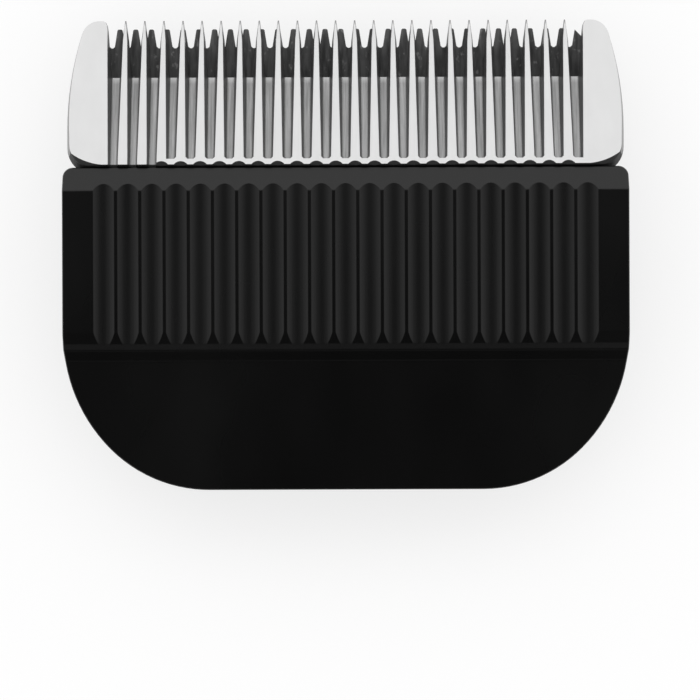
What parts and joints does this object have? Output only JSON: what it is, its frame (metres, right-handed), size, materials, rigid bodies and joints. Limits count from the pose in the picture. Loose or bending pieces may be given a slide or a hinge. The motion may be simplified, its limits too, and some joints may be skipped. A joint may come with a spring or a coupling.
{
  "type": "hair clipper blade head",
  "caption": "Detachable clipper blade head: ground steel comb with tapered teeth, dark sliding cutter behind it, and a black fluted housing with an open back.",
  "frame": {"origin": "centre of the head's outline, on the plane of the housing's rear rim", "axes": "+X along the cutting edge, +Y to the tooth tips, +Z from the rear rim to the front"},
  "size_m": [0.046, 0.0386, 0.0108],
  "materials": {
    "black_plastic": "smooth satin black moulding",
    "ground_steel": "bright ground, fine grinding lines",
    "strip_steel": "rolled strip",
    "spring_steel": "bright stamped spring strip",
    "screw_steel": "plated",
    "dark_coated_steel": "dark hard coating, semi-matt",
    "yoke_plastic": "pale grey engineering plastic"
  },
  "bodies": {
    "head": {"housing": "black_plastic", "fixed_blade": "ground_steel", "guide_rail": "strip_steel", "tension_spring": "spring_steel", "blade_screw_left": "screw_steel", "blade_screw_right": "screw_steel"},
    "cutter": {"moving_blade": "dark_coated_steel", "drive_yoke": "yoke_plastic"}
  },
  "joints": [
    {"name": "cutter_stroke", "type": "slide", "parent": "head", "child": "cutter", "axis": [1, 0, 0], "range_m": [-0.00094, 0.00166]}
  ]
}
